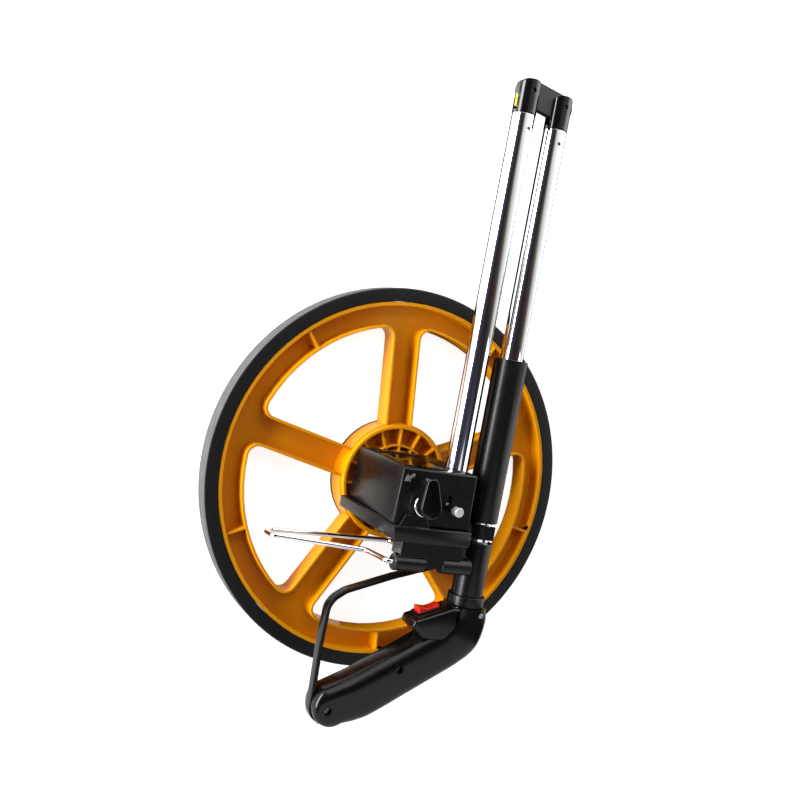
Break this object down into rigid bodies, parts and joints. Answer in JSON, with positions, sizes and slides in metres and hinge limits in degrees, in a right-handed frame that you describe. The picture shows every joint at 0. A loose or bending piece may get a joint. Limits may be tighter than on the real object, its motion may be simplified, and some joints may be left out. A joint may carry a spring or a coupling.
{
  "type": "folding distance measuring wheel",
  "caption": "Distance measuring wheel, folded: ribbed spoked wheel with a rubber tyre, counter box with reset lever, wire stand, chrome tubes on a link hinge and a pistol grip with guard.",
  "frame": {"origin": "centre of the axle's rear end, on the plane of the tyre's rear face that the folded wheel lies on", "axes": "+Z along the axle from the tyre's rear face towards the counter box, +Y along the tubes towards the fold hinge, +X across the tubes from the counter box towards the folded upper tube"},
  "size_m": [0.318, 0.5049, 0.122],
  "materials": {
    "tyre_rubber": "matte",
    "orange_plastic": "satin",
    "black_satin": "satin",
    "black_gloss": "gloss",
    "chrome": "polished",
    "steel": "satin",
    "white_nylon": "matte",
    "white_plastic": "gloss",
    "red_plastic": "gloss",
    "clear_window": "polished",
    "yellow_lead": "satin"
  },
  "bodies": {
    "frame": {"base_tray": "black_satin", "housing_cover": "black_satin", "window_lens": "clear_window", "lower_tube": "chrome", "lower_hinge_cap": "black_satin", "lower_hinge_pin": "steel", "storage_clip": "black_satin", "base_screw_1": "steel", "base_screw_2": "steel", "base_screw_3": "steel", "base_screw_4": "steel"},
    "wheel": {"tyre": "tyre_rubber", "wheel_moulding": "orange_plastic", "hub_back_disc": "black_satin", "hub_insert": "steel", "axle": "steel", "axle_nut": "steel", "drive_gear": "white_nylon"},
    "counter_units": {"counter_gear": "white_nylon", "number_drum_1": "red_plastic"},
    "counter_tens": {"number_drum_2": "white_plastic"},
    "counter_hundreds": {"number_drum_3": "white_plastic"},
    "counter_thousands": {"number_drum_4": "white_plastic"},
    "counter_ten_thousands": {"number_drum_5": "white_plastic"},
    "reset": {"reset_shaft": "steel", "reset_collar": "chrome", "reset_lever": "black_gloss"},
    "brake": {"brake_pin": "chrome", "brake_bush": "black_satin"},
    "stand": {"stand_wire": "chrome"},
    "link": {"fold_link": "steel", "switch_lead": "yellow_lead"},
    "handle": {"upper_tube": "chrome", "upper_hinge_cap": "black_satin", "upper_hinge_pin": "steel", "neck_tube": "black_satin", "ferrule": "black_satin", "grip_shell_near": "black_satin", "grip_shell_far": "black_satin", "grip_screw_1": "steel", "grip_screw_2": "steel", "grip_screw_3": "steel", "hand_guard": "black_satin", "switch_body": "black_satin"},
    "sleeve": {"lock_sleeve": "black_gloss"},
    "rocker": {"rocker_switch": "red_plastic"}
  },
  "joints": [
    {"name": "wheel_spin", "type": "hinge", "parent": "frame", "child": "wheel", "pos_m": [0, 0, 0.03], "axis": [0, 0, 1], "continuous": true},
    {"name": "units_spin", "type": "hinge", "parent": "frame", "child": "counter_units", "pos_m": [-0.01741, -0.0026, 0.05], "axis": [0, 0, 1], "continuous": true},
    {"name": "tens_spin", "type": "hinge", "parent": "frame", "child": "counter_tens", "pos_m": [-0.01741, -0.0026, 0.05], "axis": [0, 0, 1], "continuous": true},
    {"name": "hundreds_spin", "type": "hinge", "parent": "frame", "child": "counter_hundreds", "pos_m": [-0.01741, -0.0026, 0.05], "axis": [0, 0, 1], "continuous": true},
    {"name": "thousands_spin", "type": "hinge", "parent": "frame", "child": "counter_thousands", "pos_m": [-0.01741, -0.0026, 0.05], "axis": [0, 0, 1], "continuous": true},
    {"name": "ten_thousands_spin", "type": "hinge", "parent": "frame", "child": "counter_ten_thousands", "pos_m": [-0.01741, -0.0026, 0.05], "axis": [0, 0, 1], "continuous": true},
    {"name": "reset_turn", "type": "hinge", "parent": "frame", "child": "reset", "pos_m": [-0.01741, -0.0026, 0.05], "axis": [0, 0, 1], "range_deg": [0, 90], "stiffness_Nm_per_rad": 0.01},
    {"name": "brake_slide", "type": "slide", "parent": "frame", "child": "brake", "axis": [0, 1, 0], "range_m": [0, 0.007]},
    {"name": "stand_swing", "type": "hinge", "parent": "frame", "child": "stand", "pos_m": [0, -0.0483, 0.1], "axis": [-1, 0, 0], "range_deg": [-12, 8]},
    {"name": "fold_lower", "type": "hinge", "parent": "frame", "child": "link", "pos_m": [0.0169, 0.317, 0.087], "axis": [0, 0, 1], "range_deg": [0, 98.2], "deforming": ["switch_lead"]},
    {"name": "fold_upper", "type": "hinge", "parent": "link", "child": "handle", "pos_m": [0.0473, 0.3126, 0.087], "axis": [0, 0, 1], "range_deg": [0, 81.8]},
    {"name": "sleeve_slide", "type": "slide", "parent": "handle", "child": "sleeve", "axis": [0, 1, 0], "range_m": [0, 0.185]},
    {"name": "rocker_tilt", "type": "hinge", "parent": "handle", "child": "rocker", "pos_m": [0.014, -0.0869, 0.087], "axis": [0, 0, 1], "range_deg": [0, 18]}
  ],
  "couplings": [
    {"joint": "units_spin", "follows": "wheel_spin", "ratio": -1},
    {"joint": "tens_spin", "follows": "wheel_spin", "ratio": -0.1},
    {"joint": "hundreds_spin", "follows": "wheel_spin", "ratio": -0.01},
    {"joint": "thousands_spin", "follows": "wheel_spin", "ratio": -0.001},
    {"joint": "ten_thousands_spin", "follows": "wheel_spin", "ratio": -0.0001}
  ]
}
